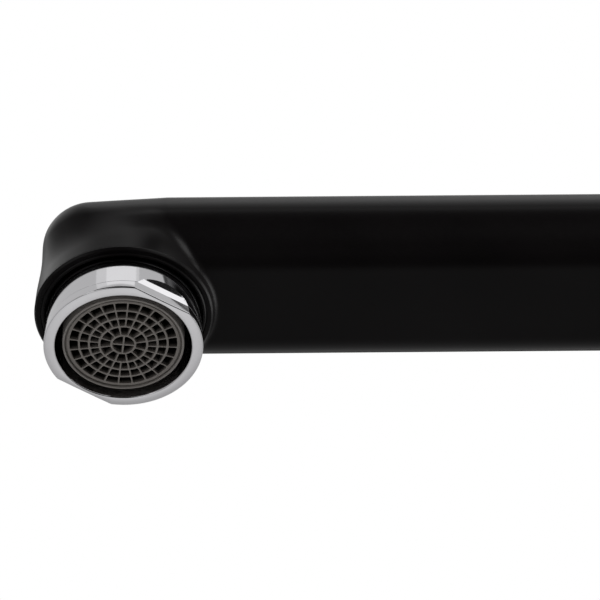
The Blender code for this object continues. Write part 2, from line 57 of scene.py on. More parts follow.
# Places that come from the frame
HOUSING_LOW, HOUSING_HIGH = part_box("aerator_housing")
INSERT_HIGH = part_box("aerator_insert")[1]
BODY_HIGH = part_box("faucet_body")[1]
SPOUT_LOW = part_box("spout")[0]
COVER_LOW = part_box("dome_cover")[0]
LEVER_LOW, LEVER_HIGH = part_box("lever")
RING_LOW, RING_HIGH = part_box("base_ring")
GASKET_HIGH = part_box("base_gasket")[1]
PLUG_LOW, PLUG_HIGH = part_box("index_plug")
STUD_LOW, STUD_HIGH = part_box("mounting_stud")
NUT_LOW, NUT_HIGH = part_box("clamp_nut")
CUP_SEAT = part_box("cartridge_base")[0].z - 0.3 * MM
TILT_Z = next(j for j in frame["record"]["behaviour"]["joints"] if j["name"] == "lever_tilt")["pos_m"][2]
REACH = -(HOUSING_LOW.y + HOUSING_HIGH.y) / 2
OUTLET = Vector((0, -REACH, 0))
FACE_Z = HOUSING_LOW.z
SPOUT_Z = HOUSING_HIGH.z + 4.2 * MM  # middle of the ring that turns on the body
ARM_Z = SPOUT_Z - 0.2 * MM
RIM_Z = SPOUT_Z - 9.65 * MM
SLEEVE_Z = FACE_Z + 0.66 * MM
GRID_Z = FACE_Z + 0.85 * MM
BODY_R = BODY_HIGH.x
COLLAR_R = HOUSING_HIGH.x
RIM_R = -SPOUT_LOW.y - REACH
STUD_Y = (STUD_LOW.y + STUD_HIGH.y) / 2

# ---------------------------------------------------------------- camera and stage

VIEW_DROP = math.radians(48)       # the camera looks up at this angle, from the +X side
VIEW_ROLL = math.radians(-0.45)
VIEW_WIDTH = 97.5 * MM             # what the frame holds at the outlet
VIEW_AWAY = 1.5
FACE_LEFT = 28.72 * MM             # the collar's face lies this far left of the frame's middle
FACE_BELOW = 7.63 * MM
FLOOR_DROP = 5.0


def place_camera():
    toward = Vector((-math.cos(VIEW_DROP), 0, math.sin(VIEW_DROP)))
    right = Vector((0, 1, 0))
    up = right.cross(toward)
    right, up = (right * math.cos(VIEW_ROLL) + up * math.sin(VIEW_ROLL),
                 up * math.cos(VIEW_ROLL) - right * math.sin(VIEW_ROLL))
    face = OUTLET + Vector((0, 0, FACE_Z))
    aim = face + right * FACE_LEFT + up * FACE_BELOW
    data = bpy.data.cameras.new("camera")
    data.sensor_width = 36
    data.lens = data.sensor_width * VIEW_AWAY / VIEW_WIDTH
    data.clip_start, data.clip_end = 0.01, 100
    camera = bpy.data.objects.new("camera", data)
    bpy.context.scene.collection.objects.link(camera)
    camera.matrix_world = Matrix((
        (right.x, up.x, -toward.x, aim.x - toward.x * VIEW_AWAY),
        (right.y, up.y, -toward.y, aim.y - toward.y * VIEW_AWAY),
        (right.z, up.z, -toward.z, aim.z - toward.z * VIEW_AWAY),
        (0, 0, 0, 1)))
    bpy.context.scene.camera = camera


def node_material(name):
    made = bpy.data.materials.new(name)
    made.use_nodes = True
    return made, made.node_tree, made.node_tree.nodes["Principled BSDF"]


def wire(tree, source, output, target, socket):
    tree.links.new(source.outputs[output], target.inputs[socket])


def noise(tree, scale, detail=3.0, roughness=0.5):
    """A noise texture in the object's own space, with the scale in bumps for each metre."""
    place = tree.nodes.new("ShaderNodeTexCoord")
    texture = tree.nodes.new("ShaderNodeTexNoise")
    texture.inputs["Scale"].default_value = scale
    texture.inputs["Detail"].default_value = detail
    texture.inputs["Roughness"].default_value = roughness
    wire(tree, place, "Object", texture, "Vector")
    return texture


def spread(tree, source, output, low, high):
    """Maps a texture's 0 to 1 onto another range."""
    ramp = tree.nodes.new("ShaderNodeMapRange")
    ramp.inputs["To Min"].default_value = low
    ramp.inputs["To Max"].default_value = high
    wire(tree, source, output, ramp, "Value")
    return ramp


def colour_between(tree, source, output, first, second, low=0.3, high=0.7):
    ramp = tree.nodes.new("ShaderNodeValToRGB")
    ramp.color_ramp.elements[0].color = (*first, 1)
    ramp.color_ramp.elements[0].position = low
    ramp.color_ramp.elements[1].color = (*second, 1)
    ramp.color_ramp.elements[1].position = high
    wire(tree, source, output, ramp, "Fac")
    return ramp


def bump(tree, shader, source, output, depth, strength=1.0):
    node = tree.nodes.new("ShaderNodeBump")
    node.inputs["Distance"].default_value = depth
    node.inputs["Strength"].default_value = strength
    wire(tree, source, output, node, "Height")
    wire(tree, node, "Normal", shader, "Normal")
    return node


def flat_stage(name, size, cells, look):
    mesh = bpy.data.meshes.new(name)
    work = bmesh.new()
    bmesh.ops.create_grid(work, x_segments=cells, y_segments=cells, size=size / 2)
    work.to_mesh(mesh)
    work.free()
    mesh.materials.append(look)
    sheet = bpy.data.objects.new(name, mesh)
    bpy.context.scene.collection.objects.link(sheet)
    return sheet


def studio_surface(name, dark, light):
    made, tree, shader = node_material(name)
    ramp = colour_between(tree, noise(tree, 3.0), "Fac", dark, light)
    wire(tree, ramp, "Color", shader, "Base Color")
    shader.inputs["Roughness"].default_value = 0.9
    return made


ROOM_LIGHT = 0.66                  # the surroundings as the faucet sees them; the camera sees them at 1
FOCUS = OUTLET + Vector((0, 0, SPOUT_Z))
# name, bearing from +X towards +Y and drop below the horizon in degrees, distance, width and height in metres
DARK_FLAGS = [("flag_camera", -8, 15, 1.9, 1.9, 6.6), ("flag_below", 62, 38, 2.4, 1.9, 1.7),
              ("flag_back", 180, -40, 2.0, 1.3, 1.1), ("flag_floor", 0, 90, 4.9, 4.4, 4.4)]
# name, bearing, drop, distance, width, height, glow added to the surroundings, and the only material it lights
# (None for all); flags and panels were chosen by trial, for the main camera's view
SOFT_PANELS = [("panel_top", -9, -64, 1.6, 1.13, 0.89, 0.21, None),
               ("panel_top_right", -3, -64, 1.6, 0.78, 0.89, 0.2, None),
               ("panel_left", -50, 64, 1.6, 0.6, 0.6, 1.4, None),
               ("panel_strip", 55, -5, 1.6, 0.5, 0.5, 0.74, None),
               ("panel_crease", 42, 12, 1.6, 0.9, 1.0, 10.0, "black_lacquer"),
               ("panel_crease_low", 100, 12, 1.6, 1.7, 0.9, 6.0, "black_lacquer"),
               ("panel_right_high", 40, -74, 1.6, 1.0, 0.8, 1.0, "black_lacquer"),
               ("panel_left_high", -92, -52, 1.6, 1.5, 0.9, 1.4, "black_lacquer"),
               ("panel_left_low", -60, 26, 1.6, 1.0, 0.9, 2.0, "black_lacquer"),
               ("panel_front", 5, -50, 1.6, 2.0, 0.4, 0.55, "black_lacquer"),
               ("panel_corner", -150, -62, 1.6, 0.8, 0.7, 0.2, "black_lacquer"),
               ("panel_overhead", 0, -80, 1.6, 1.2, 1.0, 0.5, "black_lacquer")]
FLOOR_LAMP_AT = Vector((-3.8, 0, 1.2))  # from below the outlet, on the floor
FLOOR_LAMP_SIZE = 2.0
FLOOR_LAMP_POWER = 15
LAMPS = []                         # every soft panel with the only material it lights


def make_stage():
    """White surroundings and a pale floor; dark flags and soft panels that only light and reflections see."""
    scene = bpy.context.scene
    scene.view_settings.view_transform = "Standard"
    world = bpy.data.worlds.new("studio")
    scene.world = world
    world.use_nodes = True
    tree = world.node_tree
    back = tree.nodes["Background"]
    seen = tree.nodes.new("ShaderNodeLightPath")
    level = tree.nodes.new("ShaderNodeMapRange")
    level.inputs["To Min"].default_value = ROOM_LIGHT
    level.inputs["To Max"].default_value = 1.0
    wire(tree, seen, "Is Camera Ray", level, "Value")
    wire(tree, level, "Result", back, "Strength")
    back.inputs["Color"].default_value = (1, 1, 1, 1)
    floor = flat_stage("floor", 24, 8, studio_surface("pale_floor", (0.69, 0.69, 0.69), (0.72, 0.72, 0.72)))
    floor.location = (0, 0, -FLOOR_DROP)
    cloth = studio_surface("dark_cloth", (0.010, 0.010, 0.010), (0.014, 0.014, 0.014))
    for name, turn, drop, away, wide, high in DARK_FLAGS:
        flag = flat_stage(name, 1, 2, cloth)
        flag.scale = (wide, high, 1)
        aim_panel(flag, turn, drop, away)
        flag.visible_camera = False
    for name, turn, drop, away, wide, high, glow, only in SOFT_PANELS:
        data = bpy.data.lights.new(name, "AREA")
        data.shape = "RECTANGLE"
        data.size, data.size_y = wide, high
        data.energy = glow * math.pi * wide * high
        lamp = bpy.data.objects.new(name, data)
        scene.collection.objects.link(lamp)
        aim_panel(lamp, turn, drop, away)
        lamp.visible_camera = False
        LAMPS.append((lamp, only))
    data = bpy.data.lights.new("lamp_floor", "AREA")
    data.size = FLOOR_LAMP_SIZE
    data.energy = FLOOR_LAMP_POWER
    lamp = bpy.data.objects.new("lamp_floor", data)
    lamp.location = OUTLET + FLOOR_LAMP_AT - Vector((0, 0, FLOOR_DROP))
    scene.collection.objects.link(lamp)
    lamp.visible_camera = False
    light_only(lamp, [floor])


def light_only(lamp, objects):
    """The lamp lights these objects and no others."""
    lit = bpy.data.collections.new(lamp.name + "_lit")
    for each in objects:
        lit.objects.link(each)
    lamp.light_linking.receiver_collection = lit


def aim_panel(panel, turn, drop, away):
    """Puts a panel at a bearing from +X towards +Y and an angle below the horizon, facing the outlet."""
    turn, drop = math.radians(turn), math.radians(drop)
    sight = Vector((math.cos(drop) * math.cos(turn), math.cos(drop) * math.sin(turn), -math.sin(drop)))
    panel.location = FOCUS + sight * away
    side = Vector((-math.sin(turn), math.cos(turn), 0))
    up = sight.cross(side)
    panel.rotation_euler = Matrix((side, up, sight)).transposed().to_euler()


# ---------------------------------------------------------------- materials

def black_lacquer():
    """Satin black powder lacquer: a very fine orange peel, with a weak sheen."""
    made, tree, shader = node_material("black_lacquer_fine")
    ramp = colour_between(tree, noise(tree, 60, 4), "Fac", (0.0017, 0.0014, 0.0015), (0.0025, 0.0021, 0.0022))
    wire(tree, ramp, "Color", shader, "Base Color")
    rough = spread(tree, noise(tree, 900, 2), "Fac", 0.30, 0.36)
    wire(tree, rough, "Result", shader, "Roughness")
    shader.inputs["Specular IOR Level"].default_value = 0.06
    bump(tree, shader, noise(tree, 1400, 3), "Fac", 0.004 * MM, 0.6)
    return made


def chrome_plate():
    made, tree, shader = node_material("chrome_plate_fine")
    ramp = colour_between(tree, noise(tree, 90, 3), "Fac", (0.60, 0.595, 0.61), (0.64, 0.635, 0.65))
    wire(tree, ramp, "Color", shader, "Base Color")
    shader.inputs["Metallic"].default_value = 1.0
    rough = spread(tree, noise(tree, 700, 4), "Fac", 0.05, 0.10)
    wire(tree, rough, "Result", shader, "Roughness")
    return made


def plain_plastic(name, dark, light, rough_low, rough_high, grain=1500, depth=0.006):
    made, tree, shader = node_material(name)
    ramp = colour_between(tree, noise(tree, 220, 4), "Fac", dark, light)
    wire(tree, ramp, "Color", shader, "Base Color")
    rough = spread(tree, noise(tree, grain / 2, 2), "Fac", rough_low, rough_high)
    wire(tree, rough, "Result", shader, "Roughness")
    bump(tree, shader, noise(tree, grain, 3), "Fac", depth * MM, 0.7)
    return made


def grid_plastic():
    """Grey plastic with painted shade: its colour darkens from grey at the face to near black deeper into the
    openings, standing in for the shade in deep cells.
    """
    made, tree, shader = node_material("grid_plastic_fine")
    place = tree.nodes.new("ShaderNodeTexCoord")
    height = tree.nodes.new("ShaderNodeSeparateXYZ")
    wire(tree, place, "Object", height, "Vector")
    depth = tree.nodes.new("ShaderNodeMapRange")
    depth.inputs["From Min"].default_value = GRID_Z - 0.1 * MM
    depth.inputs["From Max"].default_value = GRID_Z + 0.9 * MM
    wire(tree, height, "Z", depth, "Value")
    # Painted shade: grey at the grid's face, near black 0.9 mm up into the openings, where the cells lie in
    # shade
    ramp = colour_between(tree, depth, "Result", (0.27, 0.245, 0.225), (0.02, 0.017, 0.015), 0.05, 1)
    wire(tree, ramp, "Color", shader, "Base Color")
    rough = spread(tree, noise(tree, 900, 3), "Fac", 0.42, 0.55)
    wire(tree, rough, "Result", shader, "Roughness")
    return made


def machined_metal(name, dark, light, rough_low, rough_high):
    """Turned metal: fine rings round the piece's own upright axis, with a little stain."""
    made, tree, shader = node_material(name)
    ramp = colour_between(tree, noise(tree, 130, 4), "Fac", dark, light)
    wire(tree, ramp, "Color", shader, "Base Color")
    shader.inputs["Metallic"].default_value = 1.0
    rough = spread(tree, noise(tree, 500, 3), "Fac", rough_low, rough_high)
    wire(tree, rough, "Result", shader, "Roughness")
    place = tree.nodes.new("ShaderNodeTexCoord")
    rings = tree.nodes.new("ShaderNodeTexWave")
    rings.bands_direction = "Z"
    rings.inputs["Scale"].default_value = 900
    rings.inputs["Distortion"].default_value = 0.4
    wire(tree, place, "Object", rings, "Vector")
    bump(tree, shader, rings, "Fac", 0.004 * MM, 0.35)
    return made


def two_tone_plug():
    """Gloss plug, blue on one half and red on the other, split along the piece's own X."""
    made, tree, shader = node_material("index_fine")
    place = tree.nodes.new("ShaderNodeTexCoord")
    parts = tree.nodes.new("ShaderNodeSeparateXYZ")
    wire(tree, place, "Object", parts, "Vector")
    side = tree.nodes.new("ShaderNodeMapRange")
    side.inputs["From Min"].default_value = -0.05 * MM
    side.inputs["From Max"].default_value = 0.05 * MM
    wire(tree, parts, "X", side, "Value")
    shades = []
    blue, red = ((0.01, 0.05, 0.30), (0.015, 0.07, 0.36)), ((0.40, 0.015, 0.015), (0.48, 0.025, 0.02))
    for dark, light in (blue, red):
        shades.append(colour_between(tree, noise(tree, 400, 3), "Fac", dark, light))
    mix = tree.nodes.new("ShaderNodeMix")
    mix.data_type = "RGBA"
    tree.links.new(side.outputs["Result"], mix.inputs["Factor"])
    tree.links.new(shades[0].outputs["Color"], mix.inputs["A"])
    tree.links.new(shades[1].outputs["Color"], mix.inputs["B"])
    tree.links.new(mix.outputs["Result"], shader.inputs["Base Color"])
    rough = spread(tree, noise(tree, 600, 2), "Fac", 0.15, 0.25)
    wire(tree, rough, "Result", shader, "Roughness")
    return made


LACQUER = black_lacquer()
CHROME = chrome_plate()
GREY_PLASTIC = plain_plastic("grey_plastic_fine", (0.285, 0.263, 0.246), (0.325, 0.302, 0.28), 0.42, 0.55)
GRID_PAINTED_SHADE_PLASTIC = grid_plastic()
DARK_PLASTIC = plain_plastic("dark_plastic_fine", (0.03, 0.03, 0.03), (0.045, 0.045, 0.045), 0.4, 0.55)
WHITE_PLASTIC = plain_plastic("white_plastic_fine", (0.68, 0.68, 0.65), (0.76, 0.76, 0.73), 0.35, 0.5)
RUBBER = plain_plastic("rubber_fine", (0.012, 0.012, 0.012), (0.022, 0.022, 0.022), 0.65, 0.85)
CERAMIC = plain_plastic("ceramic_fine", (0.80, 0.79, 0.74), (0.86, 0.85, 0.81), 0.1, 0.2)
BRASS = machined_metal("brass_fine", (0.55, 0.38, 0.14), (0.68, 0.49, 0.21), 0.25, 0.4)
STEEL = machined_metal("steel_fine", (0.42, 0.42, 0.43), (0.55, 0.55, 0.56), 0.28, 0.45)
INDEX = two_tone_plug()

SLOT_LOOKS = {
    "black_lacquer": LACQUER, "chrome_plate": CHROME, "grey_plastic": GREY_PLASTIC,
    "white_plastic": WHITE_PLASTIC,
    "rubber": RUBBER, "ceramic": CERAMIC, "brass": BRASS, "steel": STEEL, "index_mark": INDEX,
}


def dress_frame_nodes():
    for row in frame["record"]["subparts"]:
        node = frame["nodes"][row["node"]]
        node.data.materials.clear()
        node.data.materials.append(SLOT_LOOKS[row["material_slot"]])
    for name in ("jet_plate", "inlet_strainer"):
        frame["nodes"][name].data.materials[0] = DARK_PLASTIC


# ---------------------------------------------------------------- mesh tools

def new_piece(name, vertices, faces, slot, body, replaces=(), look=None):
    mesh = bpy.data.meshes.new(name)
    mesh.from_pydata(vertices, [], faces)
    mesh.validate()
    return dress_piece(bpy.data.objects.new(name, mesh), slot, body, replaces, look)


def dress_piece(piece, slot, body, replaces=(), look=None):
    bpy.context.scene.collection.objects.link(piece)
    piece.data.materials.clear()
    piece.data.materials.append(look or SLOT_LOOKS[slot])
    piece.data.shade_smooth()
    if replaces:
        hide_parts(*replaces)
    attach(piece, body)
    return piece


def tidy_mesh(mesh, keep_sharp=40):
    """Welds rows that meet, turns the faces outward and marks the sharp edges."""
    work = bmesh.new()
    work.from_mesh(mesh)
    bmesh.ops.remove_doubles(work, verts=work.verts, dist=0.002 * MM)
    bmesh.ops.dissolve_degenerate(work, edges=work.edges, dist=0.001 * MM)
    bmesh.ops.recalc_face_normals(work, faces=work.faces)
    work.to_mesh(mesh)
    work.free()
    mesh.shade_smooth()
    mesh.set_sharp_from_angle(angle=math.radians(keep_sharp))


def weigh_normals(piece):
    """Lets the large faces set the shading, so that narrow roundings look round and flats look flat."""
    weights = piece.modifiers.new("flat_faces", "WEIGHTED_NORMAL")
    weights.keep_sharp = True
    weights.weight = 80


def filleted(corners, steps=4):
    """A closed outline from (a, b, radius) corners, each rounded to its radius."""
    outline = []
    count = len(corners)
    for i, (a, b, radius) in enumerate(corners):
        point = Vector((a, b))
        if radius <= 0:
            outline.append((a, b))
            continue
        before = (Vector(corners[i - 1][:2]) - point).normalized()
        after = (Vector(corners[(i + 1) % count][:2]) - point).normalized()
        half = before.angle(after) / 2
        middle = point + (before + after).normalized() * radius / math.sin(half)
        start = point + before * radius / math.tan(half) - middle
        sweep = start.angle_signed(point + after * radius / math.tan(half) - middle)
        for step in range(steps + 1):
            turn = -sweep * step / steps
            outline.append((middle.x + start.x * math.cos(turn) - start.y * math.sin(turn),
                            middle.y + start.x * math.sin(turn) + start.y * math.cos(turn)))
    return outline


def rows_mesh(name, rows):
    """Closed rings of points, joined row to row and last to first."""
    rows = np.array(rows)
    count, columns = rows.shape[:2]
    index = np.arange(count * columns).reshape(count, columns)
    after_row, after_column = np.roll(index, -1, 0), np.roll(index, -1, 1)
    diagonal = np.roll(after_row, -1, 1)
    faces = np.stack([index, after_column, diagonal, after_row], -1).reshape(-1, 4)
    mesh = bpy.data.meshes.new(name)
    mesh.from_pydata(rows.reshape(-1, 3).tolist(), [], faces.tolist())
    tidy_mesh(mesh)
    return mesh


def lathe(name, corners, slot, body, replaces=(), middle=(0, 0), columns=144, look=None, steps=4):
    """A turned piece from (radius, height, rounding) corners round an upright axis."""
    around = np.linspace(0, 2 * math.pi, columns, endpoint=False)
    rows = []
    for radius, height in filleted(corners, steps):
        rows.append(np.stack([middle[0] + radius * np.cos(around), middle[1] + radius * np.sin(around),
                              np.full(columns, height)], 1))
    piece = dress_piece(bpy.data.objects.new(name, rows_mesh(name, rows)), slot, body, replaces, look)
    piece.data.set_sharp_from_angle(angle=math.radians(40))
    weigh_normals(piece)
    return piece


def cut_bores(piece, bores):
    """Cuts round bores, given as (radius, start, end), into a piece for good."""
    tools = []
    for number, (radius, start, end) in enumerate(bores):
        run = Vector(end) - Vector(start)
        mesh = bpy.data.meshes.new("bore")
        work = bmesh.new()
        bmesh.ops.create_cone(work, cap_ends=True, segments=48, radius1=radius, radius2=radius,
                              depth=run.length)
        turn = Vector((0, 0, 1)).rotation_difference(run).to_matrix().to_4x4()
        middle = Matrix.Translation((Vector(start) + Vector(end)) / 2)
        bmesh.ops.transform(work, verts=work.verts, matrix=middle @ turn)
        work.to_mesh(mesh)
        work.free()
        tool = bpy.data.objects.new("bore_" + str(number), mesh)
        bpy.context.scene.collection.objects.link(tool)
        step = piece.modifiers.new(tool.name, "BOOLEAN")
        step.object = tool
        tools.append(tool)
    bpy.context.view_layer.update()
    made = bpy.data.meshes.new_from_object(piece.evaluated_get(bpy.context.evaluated_depsgraph_get()))
    piece.modifiers.clear()
    piece.data = made
    for tool in tools:
        bpy.data.objects.remove(tool)
    made.shade_smooth()
    made.set_sharp_from_angle(angle=math.radians(40))
    weigh_normals(piece)


def net_cells(values):
    """The cells of a sampled grid that the surface passes through, and their eight corner values."""
    corners = [(i, j, k) for i in (0, 1) for j in (0, 1) for k in (0, 1)]
    nx, ny, nz = (n - 1 for n in values.shape)
    inside = values < 0
    count = sum(inside[i:i + nx, j:j + ny, k:k + nz].astype(np.int8) for i, j, k in corners)
    cells = np.argwhere((count > 0) & (count < 8))
    sampled = np.stack([values[cells[:, 0] + i, cells[:, 1] + j, cells[:, 2] + k] for i, j, k in corners], 1)
    return cells, sampled, inside, corners


def surface_net(field, xs, ys, zs, settle=4):
    """A quad mesh on the zero level of field(x, y, z), which is negative inside, and its normals."""
    gx, gy, gz = np.meshgrid(xs, ys, zs, indexing="ij")
    values = field(gx, gy, gz)
    cells, sampled, inside, corners = net_cells(values)
    axes = (xs, ys, zs)
    total = np.zeros((len(cells), 3))
    hits = np.zeros(len(cells))
    for a, first in enumerate(corners):
        for b, second in enumerate(corners):
            if b <= a or sum(p != q for p, q in zip(first, second)) != 1:
                continue
            va, vb = sampled[:, a], sampled[:, b]
            cross = (va < 0) != (vb < 0)
            share = np.where(cross, va / np.where(cross, va - vb, 1), 0)
            for axis in range(3):
                start = axes[axis][cells[:, axis] + first[axis]]
                end = axes[axis][cells[:, axis] + second[axis]]
                total[:, axis] += np.where(cross, start + share * (end - start), 0)
            hits += cross
    points = total / hits[:, None]
    index = np.full([n - 1 for n in values.shape], -1)
    index[tuple(cells.T)] = np.arange(len(cells))
    faces = []
    for axis in range(3):
        side, other = [n for n in range(3) if n != axis]
        low = [slice(None)] * 3
        high = [slice(None)] * 3
        low[axis], high[axis] = slice(None, -1), slice(1, None)
        change = inside[tuple(low)] != inside[tuple(high)]
        edges = np.argwhere(change)
        edges = edges[(edges[:, side] > 0) & (edges[:, side] < values.shape[side] - 1)
                      & (edges[:, other] > 0) & (edges[:, other] < values.shape[other] - 1)]
        leaving = inside[tuple(low)][tuple(edges.T)]
        quad = []
        for back_side, back_other in ((1, 1), (0, 1), (0, 0), (1, 0)):
            cell = edges.copy()
            cell[:, side] -= back_side
            cell[:, other] -= back_other
            quad.append(index[tuple(cell.T)])
        quad = np.stack(quad, 1)
        flip = leaving if axis == 1 else ~leaving
        quad[flip] = quad[flip][:, ::-1]
        faces.append(quad)
    faces = np.concatenate(faces)
    for _ in range(settle):
        height, slope = field_slope(field, points)
        step = height[:, None] * slope / np.maximum((slope ** 2).sum(1), 0.05)[:, None]
        length = np.linalg.norm(step, axis=1, keepdims=True)
        points = points - step * np.minimum(1, 0.25 * MM / np.maximum(length, 1e-12))
    slope = field_slope(field, points)[1]
    return points, faces, slope / np.linalg.norm(slope, axis=1, keepdims=True)


def field_slope(field, points):
    reach = 0.01 * MM
    slope = np.zeros_like(points)
    for axis in range(3):
        shift = np.zeros(3)
        shift[axis] = reach
        slope[:, axis] = (field(*(points + shift).T) - field(*(points - shift).T)) / (2 * reach)
    return field(*points.T), slope


def net_piece(name, field, grid, slot, body, replaces):
    points, faces, normals = surface_net(field, *grid)
    piece = new_piece(name, points.tolist(), faces.tolist(), slot, body, replaces)
    piece.data.normals_split_custom_set_from_vertices(normals.tolist())
    return piece


def smooth_union(first, second, fillet):
    mix = np.clip(0.5 + 0.5 * (second - first) / fillet, 0, 1)
    return second * (1 - mix) + first * mix - fillet * mix * (1 - mix)


def cut_away(solid, tool, rounding):
    return -smooth_union(-solid, tool, rounding)


def rounded_pair(first, second, rounding):
    """Distance from where two distances meet, with the corner between them rounded."""
    first, second = first + rounding, second + rounding
    outside = np.hypot(np.maximum(first, 0), np.maximum(second, 0))
    return outside + np.minimum(np.maximum(first, second), 0) - rounding


def soft_step(value, low, high):
    share = np.clip((value - low) / (high - low), 0, 1)
    return share * share * (3 - 2 * share)


def steps_along(start, *stretches):
    """Grid coordinates from a start and (end, spacing) stretches."""
    values = []
    for end, spacing in stretches:
        count = max(1, round((end - start) / spacing))
        values += [start + (end - start) * i / count for i in range(count)]
        start = end
    return np.array(values + [start])


# ---------------------------------------------------------------- spout

ARM_HALF = 14.46 * MM
ARM_RISE = 7.6 * MM                # half its thickness
ARM_EDGE = 7.3 * MM
ARM_FILLET = 1.0 * MM              # where the nozzle leaves the arm
NOZZLE_FLARE = 1.2 * MM           # the nozzle widens towards the arm behind it
NOSE_END = 13.35 * MM              # the arm's end, beyond the outlet's axis
NOSE_CORNER = 7.8 * MM             # its corners, seen from above
NOSE_START = 7.25 * MM             # the sides run straight up to here, and then draw in
NOSE_TAPER = 0.072
NOSE_EDGE = 7.2 * MM               # rounding of the nose's top edge
NOZZLE_R = 13.9 * MM               # nozzle at the middle of the arm
ROUND_BELOW = -6.3 * MM            # the nose is round below this height and squarish above the next
SQUARE_ABOVE = 3.16 * MM
RIM_DROP = ARM_Z - RIM_Z
LIP_HIGH = 0.45 * MM               # the nozzle's lip is turned on its own, up to here
MOUTH_R = 12.95 * MM
STEP_R = 13.46 * MM                # an inner ring stands a little below the rim inside this radius
BARREL_HALF = 13.8 * MM            # half the height of the ring that turns on the body
BORE_R = 20.8 * MM


def spout_field(x, y, z):
    """The spout as a distance; y is turned to run from the outlet's axis, z from the arm's middle."""
    y, level, z = y + REACH, z - SPOUT_Z, z - ARM_Z
    half = ARM_HALF - NOSE_TAPER * np.maximum(NOSE_START - y, 0)
    plan = rounded_pair(np.abs(x) - half, -y - NOSE_END, NOSE_CORNER)
    arm = rounded_pair(plan, np.abs(z) - ARM_RISE, ARM_EDGE)
    arm = np.maximum(arm, y - REACH)
    around = np.hypot(x, y)
    nozzle = around - (NOZZLE_R - (RIM_R - NOZZLE_R) * z / RIM_DROP)
    lip = LIP_HIGH - RIM_DROP
    flare = NOZZLE_FLARE * np.tanh(0.4 * np.maximum(z - lip, 0) / NOZZLE_FLARE) * soft_step(y, MM, 7 * MM)
    flared = nozzle - flare
    fillet = ARM_FILLET * np.maximum(0.05, soft_step(z, lip, lip + 1.2 * MM))
    boss = smooth_union(arm, rounded_pair(flared, z - MM, 2 * MM), fillet)
    square = soft_step(z, ROUND_BELOW, SQUARE_ABOVE)
    nose = rounded_pair(nozzle * (1 - square) + plan * square, z - ARM_RISE, NOSE_EDGE)
    ahead = 1 - soft_step(y, -3 * MM, 6 * MM)
    solid = boss * (1 - ahead) + nose * ahead
    solid = np.maximum(solid, lip - z)
    middle = np.hypot(x, y - REACH)
    barrel = rounded_pair(middle - BODY_R, np.abs(level) - BARREL_HALF, 0.5 * MM)
    solid = smooth_union(solid, barrel, 3 * MM)
    solid = np.maximum(solid, np.abs(level) - BARREL_HALF)
    solid = np.maximum(solid, BORE_R - middle)
    mouth = np.maximum(around - MOUTH_R - 0.3 * MM, z + RIM_DROP - 3 * MM)
    return np.maximum(solid, -mouth)


def make_lip():
    """The crisp rim of the nozzle: a chamfer, a flat ring and a fine step to an inner ring."""
    def side(high):
        return RIM_R - (RIM_R - NOZZLE_R) * high / RIM_DROP

    corners = [(MOUTH_R, RIM_Z + 2.5 * MM, 0), (side(2.5 * MM) - 0.3 * MM, RIM_Z + 2.5 * MM, 0),
               (side(LIP_HIGH) - 0.3 * MM, RIM_Z + LIP_HIGH + 0.3 * MM, 0),
               (side(LIP_HIGH) - 0.005 * MM, RIM_Z + LIP_HIGH, 0),
               (side(0.32 * MM), RIM_Z + 0.32 * MM, 0.1 * MM), (side(0) - 0.34 * MM, RIM_Z, 0.08 * MM),
               (STEP_R + 0.14 * MM, RIM_Z, 0.04 * MM), (STEP_R + 0.1 * MM, RIM_Z + 0.2 * MM, 0),
               (STEP_R, RIM_Z + 0.2 * MM, 0), (STEP_R, RIM_Z + 0.05 * MM, 0.05 * MM),
               (STEP_R - 0.2 * MM, RIM_Z - 0.12 * MM, 0.06 * MM), (MOUTH_R, RIM_Z - 0.12 * MM, 0.06 * MM)]
    lathe("nozzle_lip", corners, "black_lacquer", "swivelling_spout", ["spout"], (0, -REACH), columns=288)


def make_spout():
    fine = 0.25 * MM
    xs = steps_along(-25.5 * MM, (-15 * MM, 0.7 * MM), (15 * MM, fine), (25.5 * MM, 0.7 * MM))
    ys = steps_along(-REACH - 15.5 * MM, (-REACH + 17 * MM, fine), (-REACH + 22 * MM, 0.5 * MM),
                     (-34 * MM, 2 * MM), (-22 * MM, 0.5 * MM), (25.5 * MM, 0.7 * MM))
    zs = steps_along(SPOUT_Z - 14.2 * MM, (RIM_Z + 0.2 * MM, 0.6 * MM), (RIM_Z + 1.4 * MM, 0.1 * MM),
                     (SPOUT_Z + 8 * MM, 0.25 * MM), (SPOUT_Z + 14.2 * MM, 0.6 * MM))
    net_piece("spout_shell", spout_field, (xs, ys, zs), "black_lacquer", "swivelling_spout", ["spout"])


# ---------------------------------------------------------------- aerator

FLATS_TURN = math.radians(33.5)
FLATS_AWAY = 11.92 * MM            # wrench flats, from the outlet's axis
FLATS_HIGH = 1.7 * MM              # they stand upright up to here, and then lean out
LEAN_AWAY = 12.26 * MM
LEAN_HIGH = 2.61 * MM
LEDGE_HIGH = 3.32 * MM             # the ledge over them meets the collar's side here
FACE_RISE = 0.1 * MM                # the face falls this much from its outer edge to the opening
COLLAR_TAPER = 0.05                # how much the collar's side draws in for its height
COLLAR_SHARP = math.radians(14)    # edges steeper than this stay crisp
OPENING_R = 11.15 * MM
THREAD_R = 11.75 * MM


def flat_radius(around, away, side, rounding=0.04 * MM):
    """Radius of the collar where two flats cut it, the given distance from its axis."""
    turn = (around - FLATS_TURN + math.pi / 2) % math.pi - math.pi / 2
    chord = away / np.maximum(np.cos(turn), 0.2)
    mix = np.clip(0.5 + 0.5 * (side - chord) / rounding, 0, 1)
    return side * (1 - mix) + chord * mix - rounding * mix * (1 - mix)


def side_radius(high):
    """The collar narrows a little from its face towards the nozzle."""
    return COLLAR_R - COLLAR_TAPER * np.maximum(high - 0.3 * MM, 0)


